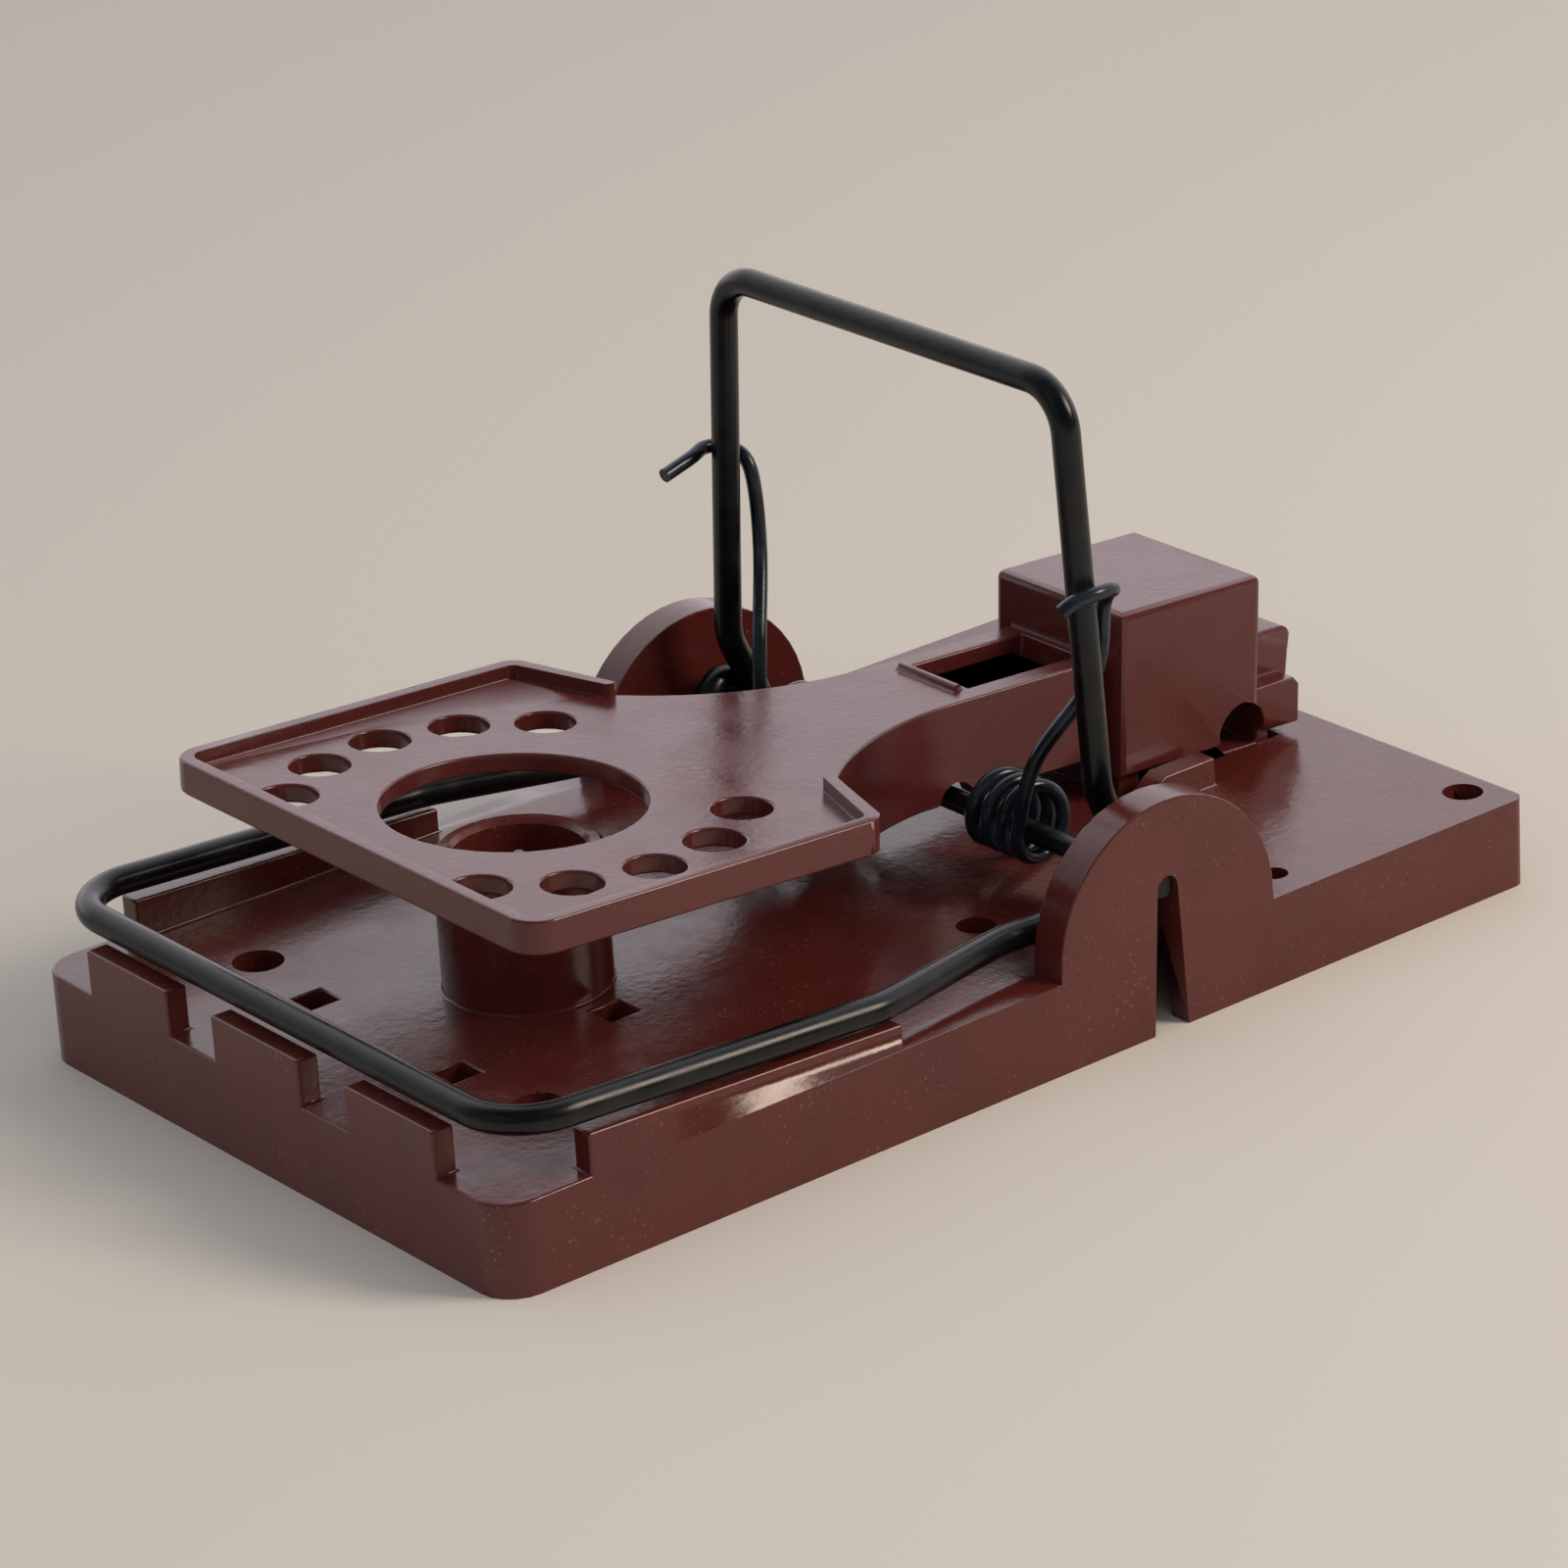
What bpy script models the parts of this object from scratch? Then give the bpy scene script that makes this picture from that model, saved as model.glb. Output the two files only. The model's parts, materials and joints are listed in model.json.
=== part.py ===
"""Snap trap for mice: moulded base, tilting treadle, wire striker with setting bow.

Frame: metres, +Z up, +X from the mouth of the trap to its latch, +Y to the left
of someone who looks along +X. The origin is the middle of the footprint.
The trap is modelled sprung: the striker lies on the front rim, the bow stands up
and the treadle rests on its stop. The bow is pushed back and down to set it.
"""
import math

import bmesh
import bpy
from mathutils import Vector

MM = 0.001

# Fits
RUN_GAP = 0.10 * MM            # radial gap of a shaft that turns in a hole
REST_GAP = 0.20 * MM           # gap between pieces that rest on each other
MOVE_GAP = 0.30 * MM           # gap beside a piece that moves past another

# Base moulding
BASE_LENGTH = 99.0 * MM
BASE_WIDTH = 58.0 * MM
DECK_HEIGHT = 7.25 * MM
DECK_THICKNESS = 2.0 * MM
BASE_WALL = 1.9 * MM
FRONT_CORNER_RADIUS = 3.0 * MM
REAR_CORNER_RADIUS = 1.2 * MM
RIM_HEIGHT_FRONT = 3.6 * MM    # above the deck, where the striker lands
RIM_HEIGHT_REAR = 1.95 * MM    # above the deck, at the end of the side rims
RIM_TO_CHEEK = 15.05 * MM      # from the end of a side rim to the cheek
MIDDLE_TOOTH_HALF = 5.4 * MM
NOTCH_WIDTH = 5.75 * MM
CORNER_NOTCH = 7.4 * MM        # along the front face, from the corner
SIDE_NOTCH = 8.0 * MM          # along the side face, from the corner
RIB_THICKNESS = 1.4 * MM       # stiffening ribs below the deck

# Cheeks that carry the axle
CHEEK_RADIUS = 10.55 * MM
CHEEK_CENTRE_LIFT = 0.75 * MM  # centre of the round, above the deck
CHEEK_THICKNESS = 3.1 * MM
CHEEK_EDGE = 0.7 * MM
AXLE_LIFT = 4.25 * MM          # axle centre above the deck
AXLE_DIAMETER = 1.8 * MM
AXLE_END_INSET = 0.5 * MM      # axle end below the outer face of a cheek
SLOT_FLARE = 0.8 * MM          # the slot widens by this much on each side down to its foot

# Bait cup
BAIT_FROM_FRONT = 24.4 * MM
CUP_RADIUS = 6.4 * MM
CUP_WALL = 1.4 * MM
CUP_HEIGHT = 10.75 * MM        # above the deck
CUP_FLOOR = 1.6 * MM           # above the deck
SPIKE_RADIUS = 0.9 * MM
SPIKE_TIP_RADIUS = 0.35 * MM
SPIKE_SHORTFALL = 0.4 * MM     # spike tip below the cup's lip

# Holes through the deck
SCREW_HOLE_RADIUS = 2.0 * MM
SCREW_HOLE_FROM_FRONT = 12.2 * MM
SCREW_HOLE_Y = 17.4 * MM
PEG_HOLE = 2.6 * MM            # side of a square hole
PEG_HOLE_Y = 8.8 * MM
PEG_HOLES_FROM_FRONT = (11.4 * MM, 25.6 * MM)
DRAIN_HOLE_RADIUS = 1.5 * MM
DRAIN_HOLE_BEFORE_AXLE = 8.1 * MM
DRAIN_HOLE_Y = 16.5 * MM
REAR_HOLE_RADIUS = 1.6 * MM
REAR_HOLE_FROM_REAR = 2.8 * MM
REAR_HOLE_FROM_SIDE = 4.1 * MM
SPRUE_HOLE_RADIUS = 1.1 * MM
SPRUE_HOLE_BEHIND_CHEEK = 3.2 * MM
SPRUE_HOLE_FROM_SIDE = 3.4 * MM

# Striker and bow, one bent wire
WIRE_DIAMETER = 2.2 * MM
FRONT_BAR_FROM_FRONT = 2.35 * MM
ARM_BEND_BEFORE = 1.7 * MM     # the arm starts to bend inward this far before the rim ends
ARM_BEND_EASE = 6.0 * MM       # how gently the bend starts and ends
STRIKER_CORNER_RADIUS = 5.0 * MM
BOW_REACH = 36.7 * MM          # axle centre to the middle of the bow's crossbar
BOW_LEAN = 0.2 * MM            # the bow stands this far in front of the axle
BOW_CORNER_RADIUS = 3.4 * MM
BOW_TAPER = 2.175 * MM         # each leg of the bow comes in by this much up to the crossbar
EYE_TURN = math.radians(450)   # wrap round the axle, from below it to behind it
EYE_GAP = 0.3 * MM             # between the turns of the eye
LEG_SPREAD = 0.4 * MM          # foot of the bow's leg outside the end of the eye
LEG_BEND_HEIGHT = 7.0 * MM     # above the axle, where the leg is straight again
CROSSBAR_FROM_REAR = 0.5 * MM  # crossbar centre inside the rear face when set

# Torsion springs
SPRING_WIRE = 1.15 * MM
COIL_MEAN_RADIUS = 2.7 * MM
COIL_TURNS = 3
COIL_GAP = 0.55 * MM           # between the turns of the coil
COIL_FROM_EYE = 6.1 * MM       # outer end of the coil, inside the striker's eye
FOOT_ANGLE = math.radians(19)  # slope of the foot that bears on the deck
HOOK_HEIGHT = 21.6 * MM        # hook above the axle
HOOK_TIP_RIGHT = 1.3 * MM      # tip in front of the bow's leg
HOOK_TIP_LEFT = 3.1 * MM
HOOK_DROP = 0.6 * MM           # fall of the tip from the bend beside the leg
SPRING_LEG_SHIFT = (1.3 * MM, -1.1 * MM, 6.0 * MM)   # from the coil to the leg's first bend
SPRING_LEG_TOP = 8.0 * MM      # below the hook, where the leg reaches the bow

# Treadle
TREADLE_TILT = math.radians(3.3)   # at rest on its stop
SET_ANGLE = math.radians(4.5)      # further tilt when it holds the set bow
PIVOT_FROM_REAR = 9.0 * MM
PIVOT_BELOW_DECK = 3.25 * MM   # pivot axis below the top of the deck
TRUNNION_RADIUS = 1.5 * MM
PEDAL_FROM_FRONT = 9.1 * MM
PEDAL_SIDE_GAP = 4.5 * MM      # between the pedal and each arm of the striker, seen from above
PEDAL_LENGTH = 34.9 * MM       # from its front edge to the start of the neck
PEDAL_TOP = 14.9 * MM          # top of the lip above the pivot, along the pedal's normal
PEDAL_FRONT_RADIUS = 2.4 * MM
PEDAL_REAR_RADIUS = 2.0 * MM
PEDAL_REAR_SLANT = 17.7        # degrees by which the rear edge turns to the rear
LIP_HEIGHT = 1.1 * MM
LIP_WIDTH = 1.1 * MM
PEDAL_THICKNESS = 1.5 * MM
PEDAL_HOLE_GAP = 3.5 * MM      # round the bait cup, seen from above
SMALL_HOLE_RADIUS = 2.3 * MM
SMALL_HOLE_CIRCLE = 16.7 * MM
SMALL_HOLE_ANGLES = (45.0, 67.5, 90.0, 112.5, 135.0)
NECK_HALF_WIDTH = 13.0 * MM    # where the neck starts
NECK_RADIUS = 24.9 * MM
NECK_RAKE = 1.3                # run of the neck's slanting foot for each unit of its rise
ARM_HALF_WIDTH = 5.3 * MM
ARM_BOTTOM = 5.8 * MM          # above the pivot
ARM_WALL = 1.6 * MM
TROUGH_HALF_WIDTH = 3.3 * MM
TROUGH_LENGTH = 12.0 * MM      # in front of the block
RIDGE_WIDTH = 1.0 * MM
RIDGE_HEIGHT = 0.5 * MM
RIDGE_GAP = 1.6 * MM           # in front of the trough
BLOCK_LENGTH = 14.7 * MM
BLOCK_HALF_WIDTH = 7.4 * MM
BLOCK_TOP = 17.9 * MM          # above the pivot
BLOCK_BOTTOM = 4.6 * MM        # above the pivot
BLOCK_BEHIND_PIVOT = 0.9 * MM
BLOCK_WALL = 1.7 * MM
BLOCK_EDGE = 0.6 * MM
TAIL_HALF_WIDTH = 6.8 * MM
HOOK_HALF_WIDTH = 4.8 * MM
HOOK_NOSE_HEIGHT = 1.9 * MM    # thickness of the nose over the set crossbar
WINDOW_WIDTH = 5.2 * MM
WINDOW_BOTTOM = 3.3 * MM       # above the pivot
WINDOW_TOP = 7.6 * MM          # above the pivot
BOSS_HALF_LENGTH = 3.4 * MM
BOSS_HALF_WIDTH = 5.9 * MM
BOSS_DROP = 1.9 * MM           # boss below the pivot
GUIDE_LENGTH = 7.5 * MM        # low walls on the deck beside the block
GUIDE_HEIGHT = 2.35 * MM
GUIDE_THICKNESS = 2.1 * MM
BEARING_THICKNESS = 2.0 * MM   # ribs below the deck that carry the trunnions

ROUND_BEND = 1.66              # makes a cubic quarter bend close to a circle
ROUND = 32                     # sides of a large round hole or boss
SMALL_ROUND = 20               # sides of a small round

# Places that follow from the sizes above
FRONT = -BASE_LENGTH / 2
REAR = BASE_LENGTH / 2
SIDE = BASE_WIDTH / 2
WIRE_RADIUS = WIRE_DIAMETER / 2
AXLE_RADIUS = AXLE_DIAMETER / 2
AXLE_X = REAR - CROSSBAR_FROM_REAR - BOW_REACH
AXLE_Z = DECK_HEIGHT + AXLE_LIFT
CHEEK_INNER = SIDE - CHEEK_THICKNESS
RIM_LENGTH = AXLE_X - CHEEK_RADIUS - RIM_TO_CHEEK - FRONT
BAIT_X = FRONT + BAIT_FROM_FRONT
BAR_Z = DECK_HEIGHT + RIM_HEIGHT_FRONT + REST_GAP + WIRE_RADIUS
EYE_RADIUS = AXLE_RADIUS + RUN_GAP + WIRE_RADIUS
EYE_OUTER_Y = CHEEK_INNER - MOVE_GAP - WIRE_RADIUS
EYE_INNER_Y = EYE_OUTER_Y - (WIRE_DIAMETER + EYE_GAP) * EYE_TURN / math.tau
PIVOT_X = REAR - PIVOT_FROM_REAR
PIVOT_HEIGHT = DECK_HEIGHT - PIVOT_BELOW_DECK
ARM_Y = SIDE - WIRE_RADIUS     # the striker's arms are flush with the base's sides
PEDAL_HALF_WIDTH = ARM_Y - WIRE_RADIUS - PEDAL_SIDE_GAP
PEDAL_HOLE_RADIUS = CUP_RADIUS + PEDAL_HOLE_GAP


def clear_scene():
    for obj in list(bpy.data.objects):
        bpy.data.objects.remove(obj, do_unlink=True)


def make_material(name, colour, roughness, metallic):
    material = bpy.data.materials.new(name)
    material.use_nodes = True
    shader = material.node_tree.nodes["Principled BSDF"]
    shader.inputs["Base Color"].default_value = (*colour, 1.0)
    shader.inputs["Roughness"].default_value = roughness
    shader.inputs["Metallic"].default_value = metallic
    return material


def add_object(name, bm, material=None):
    """Turn a bmesh into an object; one with no material is a hidden helper."""
    bmesh.ops.recalc_face_normals(bm, faces=bm.faces[:])
    mesh = bpy.data.meshes.new(name)
    bm.to_mesh(mesh)
    bm.free()
    obj = bpy.data.objects.new(name, mesh)
    bpy.context.scene.collection.objects.link(obj)
    if material is None:
        obj.hide_render = True
        obj.display_type = "WIRE"
    else:
        mesh.materials.append(material)
        mesh.shade_smooth()
        mesh.set_sharp_from_angle(angle=math.radians(32))
    return obj


def combine(target, other, operation):
    """Add a Boolean modifier that joins or cuts the target with a helper."""
    modifier = target.modifiers.new(other.name, "BOOLEAN")
    modifier.operation = operation
    modifier.solver = "EXACT"
    modifier.object = other
    other.parent = target


def arc(centre, radius, start, end, count):
    """Points on a circle, from one angle to another, both in degrees."""
    points = []
    for i in range(count + 1):
        angle = math.radians(start + (end - start) * i / count)
        points.append((centre[0] + radius * math.cos(angle), centre[1] + radius * math.sin(angle)))
    return points


def rounded_rectangle(low, high, front, rear, count):
    """Rectangle with one radius at its front corners and one at its rear corners."""
    points = arc((high[0] - rear, high[1] - rear), rear, 0, 90, count)
    points += arc((low[0] + front, high[1] - front), front, 90, 180, count)
    points += arc((low[0] + front, low[1] + front), front, 180, 270, count)
    points += arc((high[0] - rear, low[1] + rear), rear, 270, 360, count)
    return points


def add_prism(bm, points, low, high, axis="Z"):
    """Extrude a closed outline along an axis and return its new faces."""
    def place(point, level):
        if axis == "Z":
            return (point[0], point[1], level)
        if axis == "Y":
            return (point[0], level, point[1])
        return (level, point[0], point[1])

    face = bm.faces.new([bm.verts.new(place(point, low)) for point in points])
    result = bmesh.ops.extrude_face_region(bm, geom=[face])
    moved = [item for item in result["geom"] if isinstance(item, bmesh.types.BMVert)]
    shift = Vector(place((0, 0), high)) - Vector(place((0, 0), low))
    bmesh.ops.translate(bm, verts=moved, vec=shift)
    return moved


def prism(name, points, low, high, axis="Z", material=None):
    bm = bmesh.new()
    add_prism(bm, points, low, high, axis)
    return add_object(name, bm, material)


def box_outline(low, high):
    return [(low[0], low[1]), (high[0], low[1]), (high[0], high[1]), (low[0], high[1])]


def soften(bm, width, chosen, segments=2):
    """Round the edges for which chosen(edge) is true."""
    edges = [edge for edge in bm.edges if chosen(edge)]
    bmesh.ops.bevel(bm, geom=edges, offset=width, segments=segments, profile=0.5,
                    affect="EDGES", clamp_overlap=True)


def in_plane(edge, index, level):
    return all(abs(vert.co[index] - level) < 0.01 * MM for vert in edge.verts)


# ---------------------------------------------------------------- base

def base_body(material):
    """The deck with its four side walls, open below."""
    bm = bmesh.new()
    outline = rounded_rectangle((FRONT, -SIDE), (REAR, SIDE),
                                FRONT_CORNER_RADIUS, REAR_CORNER_RADIUS, 5)
    add_prism(bm, outline, 0.0, DECK_HEIGHT)
    body = add_object("base", bm, material)
    inner = rounded_rectangle((FRONT + BASE_WALL, -SIDE + BASE_WALL),
                              (REAR - BASE_WALL, SIDE - BASE_WALL),
                              FRONT_CORNER_RADIUS / 2, REAR_CORNER_RADIUS / 2, 2)
    hollow = prism("base_hollow", inner, -BASE_WALL, DECK_HEIGHT - DECK_THICKNESS)
    combine(body, hollow, "DIFFERENCE")
    return body


def front_rim():
    """Three teeth along the front edge, that the striker lands on."""
    top = DECK_HEIGHT + RIM_HEIGHT_FRONT
    foot = DECK_HEIGHT - DECK_THICKNESS / 2
    outer_tooth = MIDDLE_TOOTH_HALF + NOTCH_WIDTH
    spans = [(-MIDDLE_TOOTH_HALF, MIDDLE_TOOTH_HALF), (outer_tooth, SIDE - CORNER_NOTCH),
             (-SIDE + CORNER_NOTCH, -outer_tooth)]
    bm = bmesh.new()
    for low, high in spans:
        add_prism(bm, box_outline((FRONT, low), (FRONT + BASE_WALL, high)), foot, top)
    return add_object("front_rim", bm)


def side_rims():
    """A rim along each side that falls from the front towards the cheeks."""
    foot = DECK_HEIGHT - DECK_THICKNESS / 2
    start = FRONT + SIDE_NOTCH
    end = FRONT + RIM_LENGTH
    fall = (RIM_HEIGHT_FRONT - RIM_HEIGHT_REAR) * SIDE_NOTCH / RIM_LENGTH
    profile = [(start, foot), (end, foot), (end, DECK_HEIGHT + RIM_HEIGHT_REAR),
               (start, DECK_HEIGHT + RIM_HEIGHT_FRONT - fall)]
    bm = bmesh.new()
    add_prism(bm, profile, -SIDE, -SIDE + BASE_WALL, "Y")
    add_prism(bm, profile, SIDE - BASE_WALL, SIDE, "Y")
    return add_object("side_rims", bm)


def cheek(side):
    """A half-round lug, flush with the side wall, with rounded edges."""
    centre = (AXLE_X, DECK_HEIGHT + CHEEK_CENTRE_LIFT)
    foot = DECK_HEIGHT - DECK_THICKNESS / 2
    profile = arc(centre, CHEEK_RADIUS, 0, 180, 24)
    profile += [(AXLE_X - CHEEK_RADIUS, foot), (AXLE_X + CHEEK_RADIUS, foot)]
    bm = bmesh.new()
    low, high = sorted((side * SIDE, side * CHEEK_INNER))
    add_prism(bm, profile, low, high, "Y")
    bmesh.ops.recalc_face_normals(bm, faces=bm.faces[:])
    level = DECK_HEIGHT + CHEEK_EDGE

    def on_rim(edge):
        flat = in_plane(edge, 1, side * SIDE) or in_plane(edge, 1, side * CHEEK_INNER)
        return flat and all(vert.co.z > level for vert in edge.verts)

    soften(bm, CHEEK_EDGE, on_rim, 2)
    return add_object("cheek_left" if side > 0 else "cheek_right", bm)


def axle_slot(side):
    """Slot for the axle's end: round at the top, wider downwards, open underneath."""
    half = AXLE_RADIUS + RUN_GAP
    foot = half + SLOT_FLARE
    profile = arc((AXLE_X, AXLE_Z), half, 0, 180, 12)
    profile += [(AXLE_X - foot, -BASE_WALL), (AXLE_X + foot, -BASE_WALL)]
    low, high = sorted((side * (CHEEK_INNER - MOVE_GAP), side * (SIDE + BASE_WALL)))
    return prism("slot_left" if side > 0 else "slot_right", profile, low, high, "Y")


def bait_cup():
    """Open cup with a spike in the middle, turned about its own axis."""
    foot = DECK_HEIGHT - DECK_THICKNESS / 2
    lip = DECK_HEIGHT + CUP_HEIGHT
    floor = DECK_HEIGHT + CUP_FLOOR
    inner = CUP_RADIUS - CUP_WALL
    edge = CUP_WALL / 4
    profile = [(0.0, lip - SPIKE_SHORTFALL), (SPIKE_TIP_RADIUS, lip - SPIKE_SHORTFALL),
               (SPIKE_RADIUS, floor), (inner, floor), (inner, lip - edge), (inner + edge, lip),
               (CUP_RADIUS - edge, lip), (CUP_RADIUS, lip - edge), (CUP_RADIUS, foot), (0.0, foot)]
    bm = bmesh.new()
    verts = [bm.verts.new((radius, 0.0, height)) for radius, height in profile]
    edges = [bm.edges.new(pair) for pair in zip(verts, verts[1:])]
    bmesh.ops.spin(bm, geom=verts + edges, cent=(0, 0, 0), axis=(0, 0, 1),
                   angle=math.tau, steps=ROUND, use_merge=True)
    bmesh.ops.remove_doubles(bm, verts=bm.verts[:], dist=0.001 * MM)
    bmesh.ops.translate(bm, verts=bm.verts[:], vec=(BAIT_X, 0, 0))
    return add_object("bait_cup", bm)


def deck_holes():
    """Round and square holes through the deck, the same on both sides."""
    low = DECK_HEIGHT - 2 * DECK_THICKNESS
    high = DECK_HEIGHT + DECK_THICKNESS
    rear_y = SIDE - REAR_HOLE_FROM_SIDE
    sprue_x = AXLE_X + CHEEK_RADIUS + SPRUE_HOLE_BEHIND_CHEEK
    rounds = [(FRONT + SCREW_HOLE_FROM_FRONT, SCREW_HOLE_Y, SCREW_HOLE_RADIUS),
              (AXLE_X - DRAIN_HOLE_BEFORE_AXLE, DRAIN_HOLE_Y, DRAIN_HOLE_RADIUS),
              (REAR - REAR_HOLE_FROM_REAR, rear_y, REAR_HOLE_RADIUS),
              (sprue_x, SIDE - SPRUE_HOLE_FROM_SIDE, SPRUE_HOLE_RADIUS)]
    bm = bmesh.new()
    for side in (-1, 1):
        for x, y, radius in rounds:
            add_prism(bm, arc((x, side * y), radius, 0, 360, SMALL_ROUND)[:-1], low, high)
        for from_front in PEG_HOLES_FROM_FRONT:
            x = FRONT + from_front
            y = side * PEG_HOLE_Y
            half = PEG_HOLE / 2
            add_prism(bm, box_outline((x - half, y - half), (x + half, y + half)), low, high)
    return add_object("deck_holes", bm)


def base_ribs():
    """Ribs below the deck, and the two that carry the treadle's trunnions."""
    foot = REST_GAP
    top = DECK_HEIGHT - DECK_THICKNESS / 2
    inner = BASE_WALL / 2
    bm = bmesh.new()
    across = AXLE_X - CHEEK_RADIUS
    add_prism(bm, box_outline((across - RIB_THICKNESS, -SIDE + inner), (across, SIDE - inner)), foot, top)
    bearing_x = PIVOT_X - BOSS_HALF_LENGTH - 3 * MOVE_GAP - RIB_THICKNESS
    for side in (-1, 1):
        low, high = sorted((side * bearing_inner(), side * (bearing_inner() + BEARING_THICKNESS)))
        add_prism(bm, box_outline((bearing_x, low), (REAR - inner, high)), foot, top)
    return add_object("base_ribs", bm)


def bearing_inner():
    return BOSS_HALF_WIDTH + MOVE_GAP


def tail_opening():
    """Opening in the deck that the treadle's boss reaches down through."""
    half = BOSS_HALF_LENGTH + 3 * MOVE_GAP
    outline = box_outline((PIVOT_X - half, -bearing_inner()), (PIVOT_X + half, bearing_inner()))
    return prism("tail_opening", outline, -BASE_WALL, DECK_HEIGHT + DECK_THICKNESS)


def bearing_slots():
    """Slots for the trunnions in the bearing ribs, open underneath."""
    half = TRUNNION_RADIUS + RUN_GAP
    profile = arc((PIVOT_X, PIVOT_HEIGHT), half, 0, 180, 12)
    profile += [(PIVOT_X - half, -BASE_WALL), (PIVOT_X + half, -BASE_WALL)]
    bm = bmesh.new()
    reach = bearing_inner() + BEARING_THICKNESS + MOVE_GAP
    for side in (-1, 1):
        low, high = sorted((side * (bearing_inner() - MOVE_GAP), side * reach))
        add_prism(bm, profile, low, high, "Y")
    return add_object("bearing_slots", bm)


def guide_walls():
    """Low walls on the deck on both sides of the block, and the treadle's stop."""
    foot = DECK_HEIGHT - DECK_THICKNESS / 2
    front = block_front_x()
    inner = BLOCK_HALF_WIDTH + 2 * MOVE_GAP
    top = DECK_HEIGHT + GUIDE_HEIGHT
    profile = [(front, foot), (front + GUIDE_LENGTH, foot), (front + GUIDE_LENGTH, top),
               (front + GUIDE_HEIGHT, top), (front, DECK_HEIGHT + GUIDE_HEIGHT / 3)]
    bm = bmesh.new()
    for side in (-1, 1):
        low, high = sorted((side * inner, side * (inner + GUIDE_THICKNESS)))
        add_prism(bm, profile, low, high, "Y")
    return add_object("guide_walls", bm)


def treadle_stop():
    """Cross rib that the block's front edge comes down on."""
    foot = DECK_HEIGHT - DECK_THICKNESS / 2
    low = block_front_x() + BLOCK_EDGE
    high = low + GUIDE_THICKNESS
    reach = BLOCK_HALF_WIDTH - BLOCK_WALL / 2
    profile = [(low, foot), (high, foot), (high, block_underside(high) - REST_GAP),
               (low, block_underside(low) - REST_GAP)]
    return prism("treadle_stop", profile, -reach, reach, "Y")


def block_front_x():
    """World X of the front edge of the block's underside."""
    along = -(BLOCK_LENGTH - BLOCK_BEHIND_PIVOT)
    return PIVOT_X + along * math.cos(TREADLE_TILT) + BLOCK_BOTTOM * math.sin(TREADLE_TILT)


def block_underside(x):
    """World Z of the block's underside at world X, with the treadle at rest."""
    level = PIVOT_HEIGHT + BLOCK_BOTTOM / math.cos(TREADLE_TILT)
    return level - (x - PIVOT_X) * math.tan(TREADLE_TILT)


def build_base(material):
    base = base_body(material)
    for part in (front_rim(), side_rims(), cheek(1), cheek(-1), bait_cup(), base_ribs(),
                 guide_walls(), treadle_stop()):
        combine(base, part, "UNION")
    for cutter in (deck_holes(), tail_opening(), bearing_slots(), axle_slot(1), axle_slot(-1)):
        combine(base, cutter, "DIFFERENCE")
    return base


# ---------------------------------------------------------------- treadle
# Modelled level about its pivot: +X to the rear, +Z along the pedal's normal.

def pedal_front():
    """Front edge of the pedal from the pivot, along the treadle."""
    run = PIVOT_X - (FRONT + PEDAL_FROM_FRONT)
    return -(run + PEDAL_TOP * math.sin(TREADLE_TILT)) / math.cos(TREADLE_TILT)


def bait_along():
    """Centre of the pedal's hole, so that it stands over the bait cup at rest."""
    run = PIVOT_X - BAIT_X
    return -(run + PEDAL_TOP * math.sin(TREADLE_TILT)) / math.cos(TREADLE_TILT)


def block_front():
    return BLOCK_BEHIND_PIVOT - BLOCK_LENGTH


def neck_start():
    """Where the pedal's rear edge meets the neck (left half)."""
    return (pedal_front() + PEDAL_LENGTH, NECK_HALF_WIDTH)


def rear_corner():
    """Centre of the round between the pedal's left side and its slanting rear edge."""
    slant = math.radians(PEDAL_REAR_SLANT)
    start = neck_start()
    y = PEDAL_HALF_WIDTH - PEDAL_REAR_RADIUS
    along = start[0] * math.cos(slant) + start[1] * math.sin(slant) - PEDAL_REAR_RADIUS
    return ((along - y * math.sin(slant)) / math.cos(slant), y)


def neck_curve():
    """Concave side of the neck, from the pedal's rear edge to the arm (left half)."""
    start = neck_start()
    drop = ARM_HALF_WIDTH + NECK_RADIUS - start[1]
    run = math.sqrt(NECK_RADIUS**2 - drop**2)
    centre = (start[0] + run, start[1] + drop)
    curve = arc(centre, NECK_RADIUS, 180.0 + math.degrees(math.atan2(drop, run)), 270.0, 12)
    return [start] + curve[1:]


def treadle_outline():
    """Plan of the pedal, the neck and the arm."""
    half = arc((pedal_front() + PEDAL_FRONT_RADIUS, PEDAL_HALF_WIDTH - PEDAL_FRONT_RADIUS),
               PEDAL_FRONT_RADIUS, 180, 90, 5)
    half += arc(rear_corner(), PEDAL_REAR_RADIUS, 90, PEDAL_REAR_SLANT, 5)
    half += neck_curve()
    half.append((block_front() + BLOCK_WALL / 2, ARM_HALF_WIDTH))
    return half + [(x, -y) for x, y in reversed(half)]


def treadle_plate(material):
    bm = bmesh.new()
    add_prism(bm, treadle_outline(), ARM_BOTTOM, PEDAL_TOP)
    return add_object("treadle", bm, material)


def below_pedal():
    """What is cut away below the pedal, up to the slanting foot of the neck."""
    low = ARM_BOTTOM - BASE_WALL
    under = PEDAL_TOP - LIP_HEIGHT - PEDAL_THICKNESS
    front = pedal_front() - BASE_WALL
    neck = neck_start()[0]
    foot = neck + NECK_RAKE * (under - ARM_BOTTOM)
    profile = [(front, low), (foot, low), (foot, ARM_BOTTOM), (neck, under), (front, under)]
    reach = PEDAL_HALF_WIDTH + BASE_WALL
    return prism("below_pedal", profile, -reach, reach, "Y")


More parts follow.
